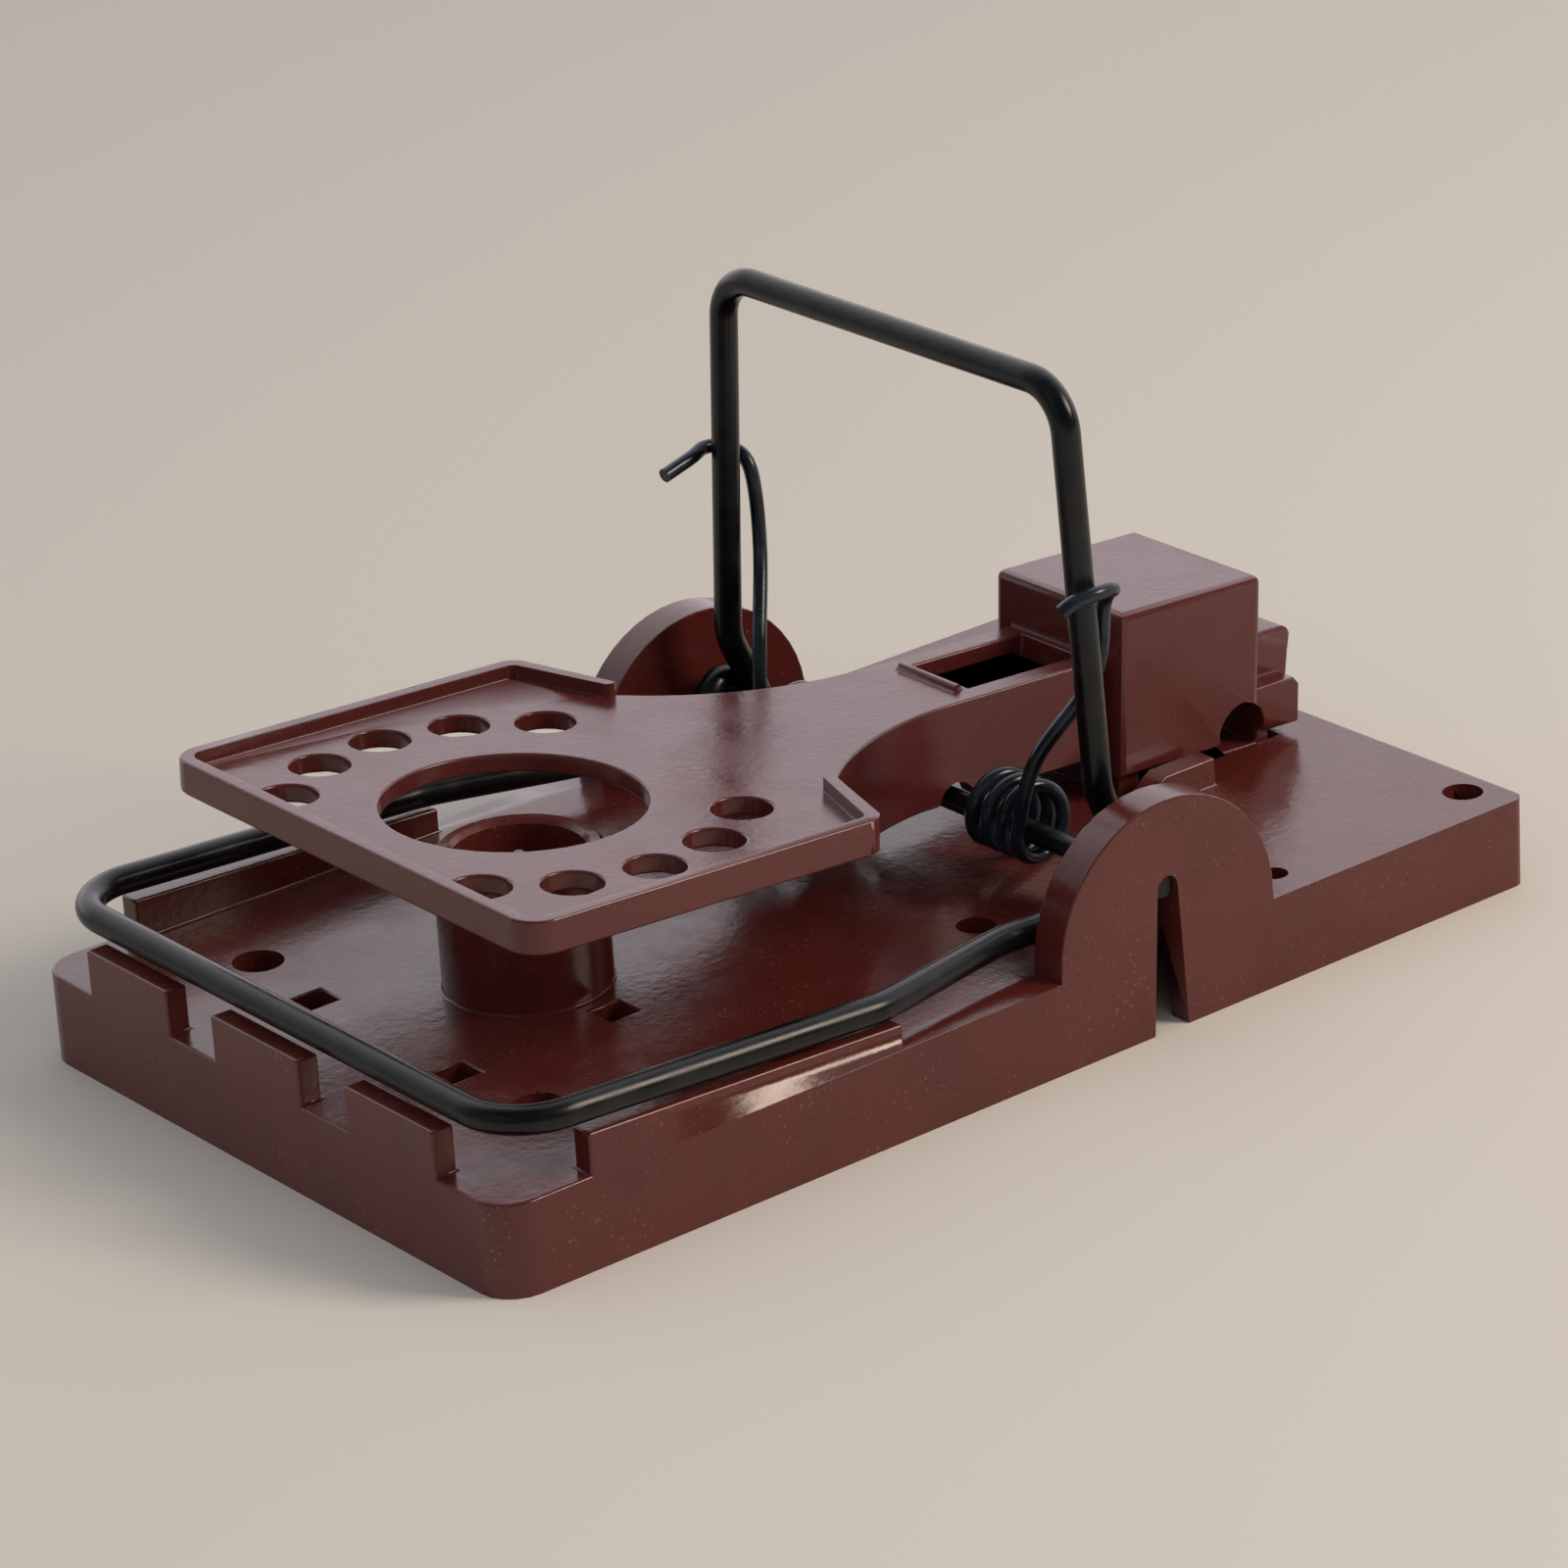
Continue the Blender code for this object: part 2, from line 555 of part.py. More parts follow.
def pedal_floor():
    """Shallow tray on top: it leaves a lip round the front, the sides and the rear edge."""
    radius = PEDAL_FRONT_RADIUS - LIP_WIDTH
    half_lip = LIP_WIDTH / 2
    slant = math.radians(PEDAL_REAR_SLANT)
    outward = Vector((math.cos(slant), math.sin(slant)))
    inward = Vector((math.sin(slant), -math.cos(slant)))
    lip_end = Vector(neck_start()) - half_lip * (outward + inward)
    half = arc((pedal_front() + PEDAL_FRONT_RADIUS, PEDAL_HALF_WIDTH - PEDAL_FRONT_RADIUS),
               radius, 180, 90, 4)
    half += arc(rear_corner(), PEDAL_REAR_RADIUS - LIP_WIDTH, 90, PEDAL_REAR_SLANT, 4)
    for step in range(5):
        angle = math.pi / 2 * step / 4
        point = lip_end + half_lip * (inward * math.sin(angle) - outward * math.cos(angle))
        half.append(tuple(point))
    clear = lip_end + half_lip * inward + BASE_WALL * outward
    half += [neck_start(), tuple(clear), (block_front() + BLOCK_WALL, clear.y)]
    outline = half + [(x, -y) for x, y in reversed(half)]
    return prism("pedal_floor", outline, PEDAL_TOP - LIP_HEIGHT, PEDAL_TOP + BASE_WALL)


def pedal_holes():
    """The large hole over the bait cup and the arcs of small holes beside it."""
    centre = (bait_along(), 0.0)
    low = PEDAL_TOP - LIP_HEIGHT - 2 * PEDAL_THICKNESS
    high = PEDAL_TOP + BASE_WALL
    bm = bmesh.new()
    add_prism(bm, arc(centre, PEDAL_HOLE_RADIUS, 0, 360, 48)[:-1], low, high)
    for side in (-1, 1):
        for degrees in SMALL_HOLE_ANGLES:
            angle = math.radians(side * degrees)
            x = centre[0] + SMALL_HOLE_CIRCLE * math.cos(angle)
            y = centre[1] + SMALL_HOLE_CIRCLE * math.sin(angle)
            add_prism(bm, arc((x, y), SMALL_HOLE_RADIUS, 0, 360, SMALL_ROUND)[:-1], low, high)
    return add_object("pedal_holes", bm)


def arm_hollow():
    """The arm and the neck are a channel, open below."""
    top = PEDAL_TOP - LIP_HEIGHT - PEDAL_THICKNESS
    low = ARM_BOTTOM - BASE_WALL
    start = neck_start()[0] + ARM_WALL
    half = []
    for x, y in neck_curve():
        if x > start + 2 * ARM_WALL and y - ARM_WALL > 0:
            half.append((x, y - ARM_WALL))
    half.insert(0, (start, half[0][1]))
    half.append((block_front() - ARM_WALL, ARM_HALF_WIDTH - ARM_WALL))
    outline = half + [(x, -y) for x, y in reversed(half)]
    return prism("arm_hollow", outline, low, top)


def arm_trough():
    """Open channel in the arm's top, in front of the block."""
    end = block_front() - ARM_WALL / 2
    start = block_front() - TROUGH_LENGTH
    low = PEDAL_TOP - LIP_HEIGHT - 2 * PEDAL_THICKNESS
    outline = box_outline((start, -TROUGH_HALF_WIDTH), (end, TROUGH_HALF_WIDTH))
    return prism("arm_trough", outline, low, PEDAL_TOP + BASE_WALL)


def arm_ridge():
    """Cross ridge on the arm's top, in front of the trough."""
    start = block_front() - TROUGH_LENGTH - RIDGE_GAP
    level = PEDAL_TOP - LIP_HEIGHT
    bevel = 0.2 * RIDGE_WIDTH
    end = start + RIDGE_WIDTH
    profile = [(start, level - RIDGE_HEIGHT), (end, level - RIDGE_HEIGHT),
               (end - bevel, level + RIDGE_HEIGHT), (start + bevel, level + RIDGE_HEIGHT)]
    return prism("arm_ridge", profile, -TROUGH_HALF_WIDTH, TROUGH_HALF_WIDTH, "Y")


def axle_notch():
    """Notch in the arm's two walls, over the axle that crosses below it."""
    dx = AXLE_X - PIVOT_X
    dz = AXLE_Z - PIVOT_HEIGHT
    x = dx * math.cos(TREADLE_TILT) - dz * math.sin(TREADLE_TILT)
    z = dx * math.sin(TREADLE_TILT) + dz * math.cos(TREADLE_TILT)
    radius = AXLE_RADIUS + 3 * MOVE_GAP
    low = ARM_BOTTOM - BASE_WALL
    profile = arc((x, z - MOVE_GAP), radius, 0, 180, 10) + [(x - radius, low), (x + radius, low)]
    reach = ARM_HALF_WIDTH + ARM_WALL
    return prism("axle_notch", profile, -reach, reach, "Y")


def block():
    """Tall hollow block at the rear of the arm, with rounded edges."""
    bm = bmesh.new()
    outline = box_outline((block_front(), -BLOCK_HALF_WIDTH), (BLOCK_BEHIND_PIVOT, BLOCK_HALF_WIDTH))
    add_prism(bm, outline, BLOCK_BOTTOM, BLOCK_TOP)
    bmesh.ops.recalc_face_normals(bm, faces=bm.faces[:])
    soften(bm, BLOCK_EDGE, lambda edge: not in_plane(edge, 2, BLOCK_BOTTOM), 2)
    return add_object("block", bm)


def block_hollow():
    rear = window_centre() - WINDOW_WIDTH / 2 - BLOCK_WALL
    inner = BLOCK_HALF_WIDTH - BLOCK_WALL
    outline = box_outline((block_front() + BLOCK_WALL, -inner), (rear, inner))
    return prism("block_hollow", outline, BLOCK_BOTTOM - BASE_WALL, BLOCK_TOP - BLOCK_WALL)


def window_centre():
    return BLOCK_BEHIND_PIVOT - WINDOW_WIDTH * 0.3


def latch_window():
    """Round-topped opening through the tail, between the block and the hook."""
    half = WINDOW_WIDTH / 2
    centre = window_centre()
    profile = arc((centre, WINDOW_TOP - half), half, 0, 180, 12)
    profile += [(centre - half, WINDOW_BOTTOM), (centre + half, WINDOW_BOTTOM)]
    reach = BLOCK_HALF_WIDTH + BASE_WALL
    return prism("latch_window", profile, -reach, reach, "Y")


def crossbar_in_treadle():
    """Place of the set crossbar, seen from the treadle at its set angle."""
    angle = TREADLE_TILT + SET_ANGLE
    dx = AXLE_X + BOW_REACH - PIVOT_X
    dz = AXLE_Z + BOW_LEAN - PIVOT_HEIGHT
    x = dx * math.cos(angle) - dz * math.sin(angle)
    z = dx * math.sin(angle) + dz * math.cos(angle)
    return x, z


def nose_reach(height):
    """How far back the nose may come at rest and still clear the moving crossbar."""
    radius = BOW_REACH - WIRE_RADIUS - REST_GAP
    best = None
    for step in range(41):
        angle = math.radians(step)
        dx = AXLE_X + radius * math.cos(angle) - PIVOT_X
        dz = AXLE_Z + radius * math.sin(angle) - PIVOT_HEIGHT
        x = dx * math.cos(TREADLE_TILT) - dz * math.sin(TREADLE_TILT)
        z = dx * math.sin(TREADLE_TILT) + dz * math.cos(TREADLE_TILT)
        if best is None or abs(z - height) < abs(best[1] - height):
            best = (x, z)
    return best[0]


def tail_foot(post):
    """Underside of the tail: it clears the deck at the set angle too."""
    angle = TREADLE_TILT + SET_ANGLE
    rise = DECK_HEIGHT + MOVE_GAP - PIVOT_HEIGHT + post * math.sin(angle)
    return rise / math.cos(angle)


def tail_hook():
    """Hook that catches the crossbar: a post with a nose, round on top."""
    bar_x, bar_z = crossbar_in_treadle()
    under = bar_z + WIRE_RADIUS + REST_GAP
    top = under + HOOK_NOSE_HEIGHT
    post = bar_x - WIRE_RADIUS - REST_GAP
    nose = nose_reach(under + HOOK_NOSE_HEIGHT / 3)
    crown = HOOK_NOSE_HEIGHT * 0.6
    start = BLOCK_BEHIND_PIVOT - BLOCK_EDGE
    foot = tail_foot(post)
    profile = [(start, foot), (post, foot), (post, under - MOVE_GAP), (nose, under)]
    profile += arc((nose - crown, top - crown), crown, 0, 90, 5)
    profile.append((start, top))
    return prism("tail_hook", profile, -HOOK_HALF_WIDTH, HOOK_HALF_WIDTH, "Y")


def tail_step():
    """Lower, wider step of the tail on both sides of the hook."""
    bar_x, bar_z = crossbar_in_treadle()
    post = bar_x - WIRE_RADIUS - REST_GAP
    top = bar_z - WIRE_RADIUS / 2
    start = BLOCK_BEHIND_PIVOT - BLOCK_EDGE
    foot = tail_foot(post)
    profile = [(start, foot), (post - MOVE_GAP, foot), (post - MOVE_GAP, top - BLOCK_EDGE),
               (post - MOVE_GAP - BLOCK_EDGE, top), (start, top)]
    return prism("tail_step", profile, -TAIL_HALF_WIDTH, TAIL_HALF_WIDTH, "Y")


def tail_boss():
    """Foot below the window that reaches through the deck to the pivot."""
    half = BOSS_HALF_LENGTH
    top = BLOCK_BOTTOM + MOVE_GAP
    profile = [(half, 0.0), (half, top), (-half, top), (-half, 0.0)]
    profile += arc((0.0, 0.0), BOSS_DROP, 200, 340, 8)
    return prism("tail_boss", profile, -BOSS_HALF_WIDTH, BOSS_HALF_WIDTH, "Y")


def trunnions():
    reach = bearing_inner() + BEARING_THICKNESS - MOVE_GAP
    outline = arc((0.0, 0.0), TRUNNION_RADIUS, 0, 360, 24)[:-1]
    return prism("trunnions", outline, -reach, reach, "Y")


def build_treadle(material):
    treadle = treadle_plate(material)
    for cutter in (below_pedal(), pedal_floor(), pedal_holes(), arm_hollow(), axle_notch()):
        combine(treadle, cutter, "DIFFERENCE")
    for part in (arm_ridge(), block(), tail_boss(), tail_hook(), tail_step(), trunnions()):
        combine(treadle, part, "UNION")
    for cutter in (arm_trough(), block_hollow(), latch_window()):
        combine(treadle, cutter, "DIFFERENCE")
    treadle.location = (PIVOT_X, 0.0, PIVOT_HEIGHT)
    treadle.rotation_euler = (0.0, TREADLE_TILT, 0.0)
    return treadle


# ---------------------------------------------------------------- wires

def smooth_path(points, count):
    """Points on a Catmull-Rom curve through the given points."""
    ends = [2 * points[0] - points[1]] + list(points) + [2 * points[-1] - points[-2]]
    path = []
    for i in range(1, len(ends) - 2):
        a, b, c, d = ends[i - 1:i + 3]
        for step in range(count):
            t = step / count
            path.append(0.5 * ((2 * b) + (c - a) * t + (2 * a - 5 * b + 4 * c - d) * t * t
                               + (3 * b - a - 3 * c + d) * t * t * t))
    path.append(points[-1].copy())
    return path


def blend(start, start_direction, end, end_direction, count):
    """Points on a cubic curve that leaves and arrives in given directions."""
    path = []
    for step in range(count + 1):
        t = step / count
        path.append((2 * t**3 - 3 * t**2 + 1) * start + (t**3 - 2 * t**2 + t) * start_direction
                    + (3 * t**2 - 2 * t**3) * end + (t**3 - t**2) * end_direction)
    return path


def corner(centre, radius, first, second, count):
    """Quarter bend from direction first to direction second about a centre."""
    path = []
    for step in range(count + 1):
        angle = math.pi / 2 * step / count
        path.append(centre + radius * (math.cos(angle) * first + math.sin(angle) * second))
    return path


def wire_object(name, points, diameter, material, closed, resolution):
    """A round wire bent along the points."""
    curve = bpy.data.curves.new(name, "CURVE")
    curve.dimensions = "3D"
    curve.bevel_depth = diameter / 2
    curve.bevel_resolution = resolution
    curve.use_fill_caps = not closed
    spline = curve.splines.new("POLY")
    spline.points.add(len(points) - 1)
    for target, point in zip(spline.points, points):
        target.co = (*point, 1.0)
    spline.use_cyclic_u = closed
    spline.use_smooth = True
    curve.materials.append(material)
    obj = bpy.data.objects.new(name, curve)
    bpy.context.scene.collection.objects.link(obj)
    return obj


def bow_y(height):
    """Half width of the bow at a height above the axle: its legs lean inwards."""
    share = (height - LEG_BEND_HEIGHT) / (BOW_REACH - LEG_BEND_HEIGHT)
    return EYE_INNER_Y + LEG_SPREAD - BOW_TAPER * share


def loop_half():
    """Right half of the wire, from the middle of the front bar to the crossbar.

    Coordinates are taken from the axle's centre, which is the body's joint axis.
    """
    bar_x = FRONT + FRONT_BAR_FROM_FRONT - AXLE_X
    bar_z = BAR_Z - AXLE_Z
    radius = STRIKER_CORNER_RADIUS
    path = corner(Vector((bar_x + radius, radius - ARM_Y, bar_z)), radius,
                  Vector((-1, 0, 0)), Vector((0, -1, 0)), 8)
    rim_x = FRONT + RIM_LENGTH - AXLE_X
    rim_z = bar_z - (RIM_HEIGHT_FRONT - RIM_HEIGHT_REAR)
    eye_bottom = Vector((0, -EYE_OUTER_Y, -EYE_RADIUS))
    fall = (rim_z - eye_bottom.z) / rim_x
    bend_start = Vector((rim_x - ARM_BEND_BEFORE, -ARM_Y, rim_z - fall * ARM_BEND_BEFORE))
    end_x = -CHEEK_RADIUS - WIRE_RADIUS - REST_GAP
    bend_end = Vector((end_x, -EYE_OUTER_Y, eye_bottom.z + fall * end_x))
    forward = Vector((ARM_BEND_EASE, 0, fall * ARM_BEND_EASE))
    path += blend(bend_start, forward, bend_end, forward, 8)
    steps = 30
    for i in range(steps + 1):
        angle = EYE_TURN * i / steps
        y = -EYE_OUTER_Y + (EYE_OUTER_Y - EYE_INNER_Y) * i / steps
        path.append(Vector((EYE_RADIUS * math.sin(angle), y, -EYE_RADIUS * math.cos(angle))))
    rise = Vector((0, 0, LEG_BEND_HEIGHT))
    path += blend(path[-1], rise, Vector((-BOW_LEAN, -bow_y(LEG_BEND_HEIGHT), LEG_BEND_HEIGHT)), rise, 8)[1:]
    bend = BOW_CORNER_RADIUS
    height = BOW_REACH - bend
    leg_top = Vector((-BOW_LEAN, -bow_y(height), height))
    lean = Vector((0, bow_y(height) - bow_y(BOW_REACH), bend))
    crossbar = Vector((-BOW_LEAN, bend - bow_y(BOW_REACH), BOW_REACH))
    path += blend(leg_top, ROUND_BEND * lean, crossbar, ROUND_BEND * Vector((0, bend, 0)), 7)
    return path


def build_loop(material):
    """Striker and bow: one wire, closed, with an eye round the axle on each side."""
    right = loop_half()
    left = [Vector((point.x, -point.y, point.z)) for point in reversed(right)]
    loop = wire_object("striker_bow", right + left, WIRE_DIAMETER, material, True, 4)
    loop.location = (AXLE_X, 0.0, AXLE_Z)
    return loop


def build_axle(material):
    bm = bmesh.new()
    reach = SIDE - AXLE_END_INSET
    add_prism(bm, arc((0.0, 0.0), AXLE_RADIUS, 0, 360, 24)[:-1], -reach, reach, "Y")
    axle = add_object("axle", bm, material)
    axle.location = (AXLE_X, 0.0, AXLE_Z)
    return axle


def spring_points(hook_tip):
    """Right spring about the axle's centre: hook, leg, coil and foot.

    The hook's points are given in grips from the bow's leg, so they follow both wires.
    """
    wire = SPRING_WIRE / 2
    lift = COIL_MEAN_RADIUS - wire - AXLE_RADIUS - REST_GAP
    outer_y = -(EYE_INNER_Y - COIL_FROM_EYE)
    grip = WIRE_RADIUS + wire + REST_GAP
    hook_z = HOOK_HEIGHT

    def beside(dx, dy, z):
        return Vector((dx * grip - BOW_LEAN, dy * grip - bow_y(z), z))

    hook = [beside(-1.0 - hook_tip / grip, -0.75, hook_z - HOOK_DROP - 0.1 * MM),
            beside(-1.1, -0.95, hook_z - 0.1 * MM), beside(-0.1, -1.2, hook_z + 0.2 * MM),
            beside(0.95, -0.85, hook_z - 0.2 * MM), beside(1.25, 0.1, hook_z - 1.9 * MM)]
    coil_start = Vector((-COIL_MEAN_RADIUS, outer_y, lift))
    leg = [beside(1.05, 0.9, hook_z - SPRING_LEG_TOP), coil_start + Vector(SPRING_LEG_SHIFT), coil_start]
    path = smooth_path(hook + leg, 4)
    total = COIL_TURNS * math.tau + math.pi / 2 - FOOT_ANGLE
    steps = int(round(total / math.radians(22.5)))
    for i in range(1, steps + 1):
        angle = total * i / steps
        y = outer_y + (SPRING_WIRE + COIL_GAP) * angle / math.tau
        x = -COIL_MEAN_RADIUS * math.cos(angle)
        z = lift - COIL_MEAN_RADIUS * math.sin(angle)
        path.append(Vector((x, y, z)))
    drop = path[-1].z - (DECK_HEIGHT + REST_GAP + wire - AXLE_Z)
    run = drop / math.tan(FOOT_ANGLE)
    path.append(path[-1] + Vector((run, 0.0, -drop)))
    return path


def build_spring(name, side, hook_tip, material):
    points = [Vector((point.x, -side * point.y, point.z)) for point in spring_points(hook_tip)]
    spring = wire_object(name, points, SPRING_WIRE, material, False, 3)
    spring.location = (AXLE_X, 0.0, AXLE_Z)
    return spring


def main():
    clear_scene()
    maroon = (0.120, 0.026, 0.026)
    build_base(make_material("base_plastic", maroon, 0.32, 0.0))
    build_treadle(make_material("treadle_plastic", maroon, 0.30, 0.0))
    black = (0.012, 0.014, 0.016)
    build_loop(make_material("striker_wire", black, 0.35, 0.6))
    build_axle(make_material("axle_wire", black, 0.35, 0.6))
    build_spring("spring_right", -1, HOOK_TIP_RIGHT, make_material("spring_right_wire", black, 0.30, 0.7))
    build_spring("spring_left", 1, HOOK_TIP_LEFT, make_material("spring_left_wire", black, 0.30, 0.7))


main()
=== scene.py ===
# %% [markdown]
# # A moulded snap trap, sprung
#
# The trap is two glossy maroon mouldings and some bent black wire. The base carries
# a bait cup and two half-round cheeks; the treadle tips over it; one wire makes the
# striker and the upright bow; two springs sit on the axle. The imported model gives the
# true shapes and joints. This script rounds the mouldings' edges, sweeps the wires
# along their paths, finishes the surfaces, lights the trap and sets the camera.

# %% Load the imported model
import json
import math

import bmesh
import bpy
from mathutils import Matrix, Vector

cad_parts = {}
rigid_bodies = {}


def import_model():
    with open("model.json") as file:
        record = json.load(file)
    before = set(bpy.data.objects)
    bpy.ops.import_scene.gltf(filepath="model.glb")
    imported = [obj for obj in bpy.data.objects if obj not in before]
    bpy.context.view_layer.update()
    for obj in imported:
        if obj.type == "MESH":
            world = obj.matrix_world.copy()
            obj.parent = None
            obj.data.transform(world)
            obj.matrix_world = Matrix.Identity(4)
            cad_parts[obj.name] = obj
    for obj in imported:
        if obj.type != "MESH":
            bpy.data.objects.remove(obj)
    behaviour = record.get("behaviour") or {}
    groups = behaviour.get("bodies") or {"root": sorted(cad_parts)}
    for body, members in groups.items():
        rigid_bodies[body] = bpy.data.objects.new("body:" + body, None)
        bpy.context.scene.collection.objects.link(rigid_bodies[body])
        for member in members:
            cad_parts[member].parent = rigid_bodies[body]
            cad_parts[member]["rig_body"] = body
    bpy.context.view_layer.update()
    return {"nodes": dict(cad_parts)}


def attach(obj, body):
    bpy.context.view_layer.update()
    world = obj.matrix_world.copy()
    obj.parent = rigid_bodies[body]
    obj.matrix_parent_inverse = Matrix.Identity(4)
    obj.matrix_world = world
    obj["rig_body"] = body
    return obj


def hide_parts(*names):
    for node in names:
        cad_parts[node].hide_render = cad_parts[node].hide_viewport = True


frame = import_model()
MM = 0.001

# %% [markdown]
# ## Colour and node helpers
#
# Blender's shaders want linear light, but colours are given as sRGB hex
# values. One function turns one into the other. A second one adds a node with its
# settings and its links in a single call, which keeps every material readable.
# Noise scales are worked out from the size of the feature in millimetres.

# %% Colour and node helpers
def linear(hex_colour):
    """Linear RGBA of an sRGB hex colour such as "#6B302C"."""
    channels = [int(hex_colour[i:i + 2], 16) / 255 for i in (1, 3, 5)]
    return tuple(c / 12.92 if c <= 0.04045 else ((c + 0.055) / 1.055) ** 2.4 for c in channels) + (1.0,)


def add_node(tree, kind, settings=None, links=None, **values):
    """Add a node. settings are its properties, values its sockets, links its incoming wires."""
    node = tree.nodes.new(kind)
    for name, value in (settings or {}).items():
        setattr(node, name, value)
    for name, value in values.items():
        node.inputs[name.replace("_", " ")].default_value = value
    for name, source in (links or {}).items():
        tree.links.new(source, node.inputs[name])
    return node


def ramp_stops(node, stops):
    """Set a colour ramp's stops from (position, linear colour) pairs."""
    elements = node.color_ramp.elements
    while len(elements) < len(stops):
        elements.new(1.0)
    for element, (position, colour) in zip(elements, stops):
        element.position = position
        element.color = colour


def per_size(millimetres):
    """Noise scale whose features are about this many millimetres across."""
    return 1.0 / (millimetres * MM)


print("maroon in linear light:", [round(c, 4) for c in linear("#5A2622")])

# %% [markdown]
# ## Injection-moulded plastic
#
# The mouldings are a glossy styrenic plastic, dyed right through. Fresh from a
# polished mould it mirrors the sky at a low angle. Fine grit and rubbed spots break
# the gloss up. All of that is noise in object space: a slow drift of colour, a fine
# orange-peel bump, pale specks a few tenths of a millimetre across that lie in
# patches, and a gloss that is a little duller where the patches are. The pale specks
# are partly grit and partly painted glints, sparkle of light painted into the colour.

# %% Moulded plastic
# A Mix node has a set of sockets for each data type. These are the colour ones.
MIX_COLOUR_A, MIX_COLOUR_B, MIX_COLOUR_RESULT = 6, 7, 2


def moulded_plastic(name, base_hex, light_hex, grit_and_glint_hex, roughness, grit_and_glint_amount):
    """Glossy dyed plastic with a drift of colour, pale specks of grit and painted glints in patches,
    and a fine orange peel.
    """
    material = bpy.data.materials.new(name)
    material.use_nodes = True
    tree = material.node_tree
    shader = tree.nodes["Principled BSDF"]
    shader.inputs["IOR"].default_value = 1.52
    place = add_node(tree, "ShaderNodeTexCoord").outputs["Object"]
    drift = add_node(tree, "ShaderNodeTexNoise", links={"Vector": place},
                     Scale=per_size(14.0), Detail=3.0, Roughness=0.6)
    colour = add_node(tree, "ShaderNodeValToRGB", links={"Fac": drift.outputs["Fac"]})
    ramp_stops(colour, [(0.32, linear(base_hex)), (0.72, linear(light_hex))])
    # Pale specks in patches: partly grit, partly painted glints of light.
    specks = add_node(tree, "ShaderNodeTexVoronoi", {"feature": "F1"}, {"Vector": place},
                      Scale=per_size(0.55), Randomness=1.0)
    grit_and_glint_mask = add_node(tree, "ShaderNodeMapRange", {"clamp": True},
                          {"Value": specks.outputs["Distance"]},
                          From_Min=0.08, From_Max=0.26, To_Min=1.0, To_Max=0.0)
    patches = add_node(tree, "ShaderNodeTexNoise", links={"Vector": place},
                       Scale=per_size(5.0), Detail=4.0, Roughness=0.65)
    patch_mask = add_node(tree, "ShaderNodeMapRange", {"clamp": True},
                          {"Value": patches.outputs["Fac"]},
                          From_Min=0.46, From_Max=0.70, To_Min=0.0, To_Max=grit_and_glint_amount)
    cover = add_node(tree, "ShaderNodeMath", {"operation": "MULTIPLY"},
                     {0: grit_and_glint_mask.outputs["Result"], 1: patch_mask.outputs["Result"]})
    # The specks' pale colour is mixed into the base colour: painted glints on grit.
    mixed = add_node(tree, "ShaderNodeMix", {"data_type": "RGBA"})
    mixed.inputs[MIX_COLOUR_B].default_value = linear(grit_and_glint_hex)
    tree.links.new(cover.outputs[0], mixed.inputs[0])
    tree.links.new(colour.outputs["Color"], mixed.inputs[MIX_COLOUR_A])
    tree.links.new(mixed.outputs[MIX_COLOUR_RESULT], shader.inputs["Base Color"])
    gloss = add_node(tree, "ShaderNodeMapRange", {"clamp": True}, {"Value": patches.outputs["Fac"]},
                     From_Min=0.35, From_Max=0.75, To_Min=roughness - 0.04, To_Max=roughness + 0.10)
    tree.links.new(gloss.outputs["Result"], shader.inputs["Roughness"])
    peel = add_node(tree, "ShaderNodeTexNoise", links={"Vector": place},
                    Scale=per_size(0.7), Detail=2.0, Roughness=0.5)
    bump = add_node(tree, "ShaderNodeBump", links={"Height": peel.outputs["Fac"]},
                    Strength=0.10, Distance=0.0002)
    tree.links.new(bump.outputs["Normal"], shader.inputs["Normal"])
    return material


base_plastic = moulded_plastic("glossy_maroon_base_plastic", "#54211D", "#612A25", "#A4746A",
                               roughness=0.20, grit_and_glint_amount=0.55)
treadle_plastic = moulded_plastic("glossy_maroon_treadle_plastic", "#562321", "#602B29", "#9A6E68",
                                  roughness=0.22, grit_and_glint_amount=0.30)
print("plastics:", base_plastic.name, treadle_plastic.name)

# %% [markdown]
# ## Blackened spring wire
#
# The wires are hard-drawn steel with a black finish: dark, satin, with a long
# bluish highlight along each bend. The finish is a thin layer over metal, so the
# material is partly metallic, and a fine scratch noise breaks the highlight.

# %% Blackened wire
def blackened_wire(name, dark_hex, light_hex, roughness):
    """Black finish on steel wire, with worn patches and fine scratches."""
    material = bpy.data.materials.new(name)
    material.use_nodes = True
    tree = material.node_tree
    shader = tree.nodes["Principled BSDF"]
    shader.inputs["Metallic"].default_value = 0.35
    place = add_node(tree, "ShaderNodeTexCoord").outputs["Object"]
    wear = add_node(tree, "ShaderNodeTexNoise", links={"Vector": place},
                    Scale=per_size(4.5), Detail=4.0, Roughness=0.6)
    colour = add_node(tree, "ShaderNodeValToRGB", links={"Fac": wear.outputs["Fac"]})
    ramp_stops(colour, [(0.42, linear(dark_hex)), (0.78, linear(light_hex))])
    tree.links.new(colour.outputs["Color"], shader.inputs["Base Color"])
    gloss = add_node(tree, "ShaderNodeMapRange", {"clamp": True}, {"Value": wear.outputs["Fac"]},
                     From_Min=0.3, From_Max=0.7, To_Min=roughness - 0.05, To_Max=roughness + 0.1)
    tree.links.new(gloss.outputs["Result"], shader.inputs["Roughness"])
    scratch = add_node(tree, "ShaderNodeTexNoise", links={"Vector": place},
                       Scale=per_size(0.4), Detail=2.0)
    bump = add_node(tree, "ShaderNodeBump", links={"Height": scratch.outputs["Fac"]},
                    Strength=0.06, Distance=0.0001)
    tree.links.new(bump.outputs["Normal"], shader.inputs["Normal"])
    return material


striker_black = blackened_wire("blackened_striker_wire", "#0D0F11", "#22262A", 0.26)
axle_black = blackened_wire("blackened_axle_wire", "#0D0F11", "#1F2327", 0.28)
spring_black = blackened_wire("blackened_spring_wire", "#131922", "#36414F", 0.20)
print("wires:", striker_black.name, axle_black.name, spring_black.name)

